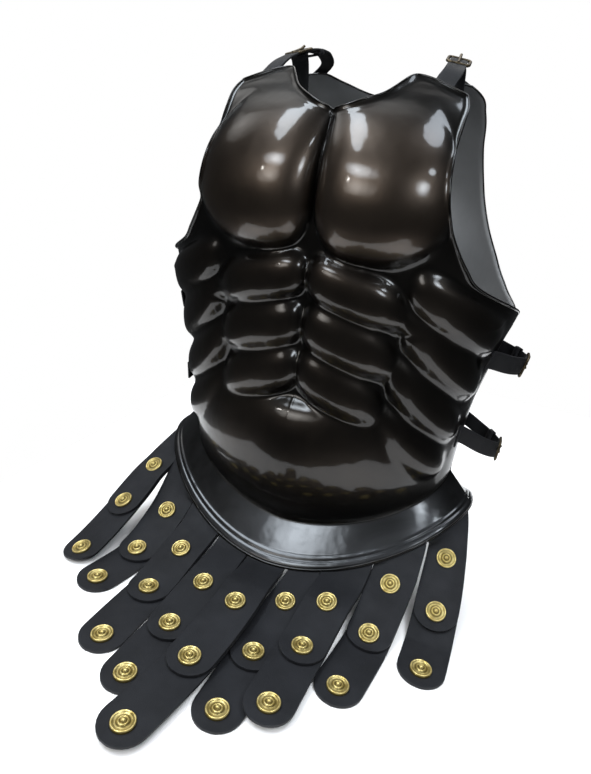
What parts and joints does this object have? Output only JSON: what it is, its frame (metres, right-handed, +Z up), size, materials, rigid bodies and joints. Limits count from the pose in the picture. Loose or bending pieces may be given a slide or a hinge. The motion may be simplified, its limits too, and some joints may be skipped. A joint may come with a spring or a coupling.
{
  "type": "muscle cuirass",
  "caption": "Muscle cuirass with an embossed breastplate and plain backplate in blackened steel, buckled leather straps and brass-studded leather pteruges, standing on a table.",
  "frame": {"origin": "middle of the footprint's bounding box, on the table plane", "axes": "+X to the wearer's left, -Y to the front where the pteruges spread, +Z up"},
  "size_m": [0.4079, 0.4957, 0.5195],
  "materials": {
    "breastplate": "black-brown patinated steel, polished and lacquered to a mirror gloss, plain grey inside",
    "backplate": "black-brown patinated steel, polished outside, satin grey inside",
    "pteruges": "matt black dyed leather with a faint sheen",
    "harness_leather": "black dyed leather",
    "studs": "pressed brass, polished, darker in the grooves",
    "buckles": "dark antique brass, worn smooth"
  },
  "bodies": {
    "root": {"backplate": "backplate", "breastplate": "breastplate", "pteruge_lower_1": "pteruges", "pteruge_lower_2": "pteruges", "pteruge_lower_3": "pteruges", "pteruge_lower_4": "pteruges", "pteruge_lower_5": "pteruges", "pteruge_lower_6": "pteruges", "pteruge_lower_7": "pteruges", "pteruge_lower_8": "pteruges", "pteruge_lower_9": "pteruges", "pteruge_upper_1": "pteruges", "pteruge_upper_2": "pteruges", "pteruge_upper_3": "pteruges", "pteruge_upper_4": "pteruges", "pteruge_upper_5": "pteruges", "pteruge_upper_6": "pteruges", "pteruge_upper_7": "pteruges", "pteruge_upper_8": "pteruges", "pteruge_upper_9": "pteruges", "shoulder_strap_left": "harness_leather", "shoulder_strap_left_buckle": "buckles", "shoulder_strap_right": "harness_leather", "shoulder_strap_right_buckle": "buckles", "side_strap_lower_left": "harness_leather", "side_strap_lower_left_buckle": "buckles", "side_strap_lower_right": "harness_leather", "side_strap_lower_right_buckle": "buckles", "side_strap_upper_left": "harness_leather", "side_strap_upper_left_buckle": "buckles", "side_strap_upper_right": "harness_leather", "side_strap_upper_right_buckle": "buckles", "stud_1_middle": "studs", "stud_1_tip": "studs", "stud_1_top": "studs", "stud_2_middle": "studs", "stud_2_tip": "studs", "stud_2_top": "studs", "stud_3_middle": "studs", "stud_3_tip": "studs", "stud_3_top": "studs", "stud_4_middle": "studs", "stud_4_tip": "studs", "stud_4_top": "studs", "stud_5_middle": "studs", "stud_5_tip": "studs", "stud_5_top": "studs", "stud_6_middle": "studs", "stud_6_tip": "studs", "stud_6_top": "studs", "stud_7_middle": "studs", "stud_7_tip": "studs", "stud_7_top": "studs", "stud_8_middle": "studs", "stud_8_tip": "studs", "stud_8_top": "studs", "stud_9_middle": "studs", "stud_9_tip": "studs", "stud_9_top": "studs"}
  },
  "joints": []
}
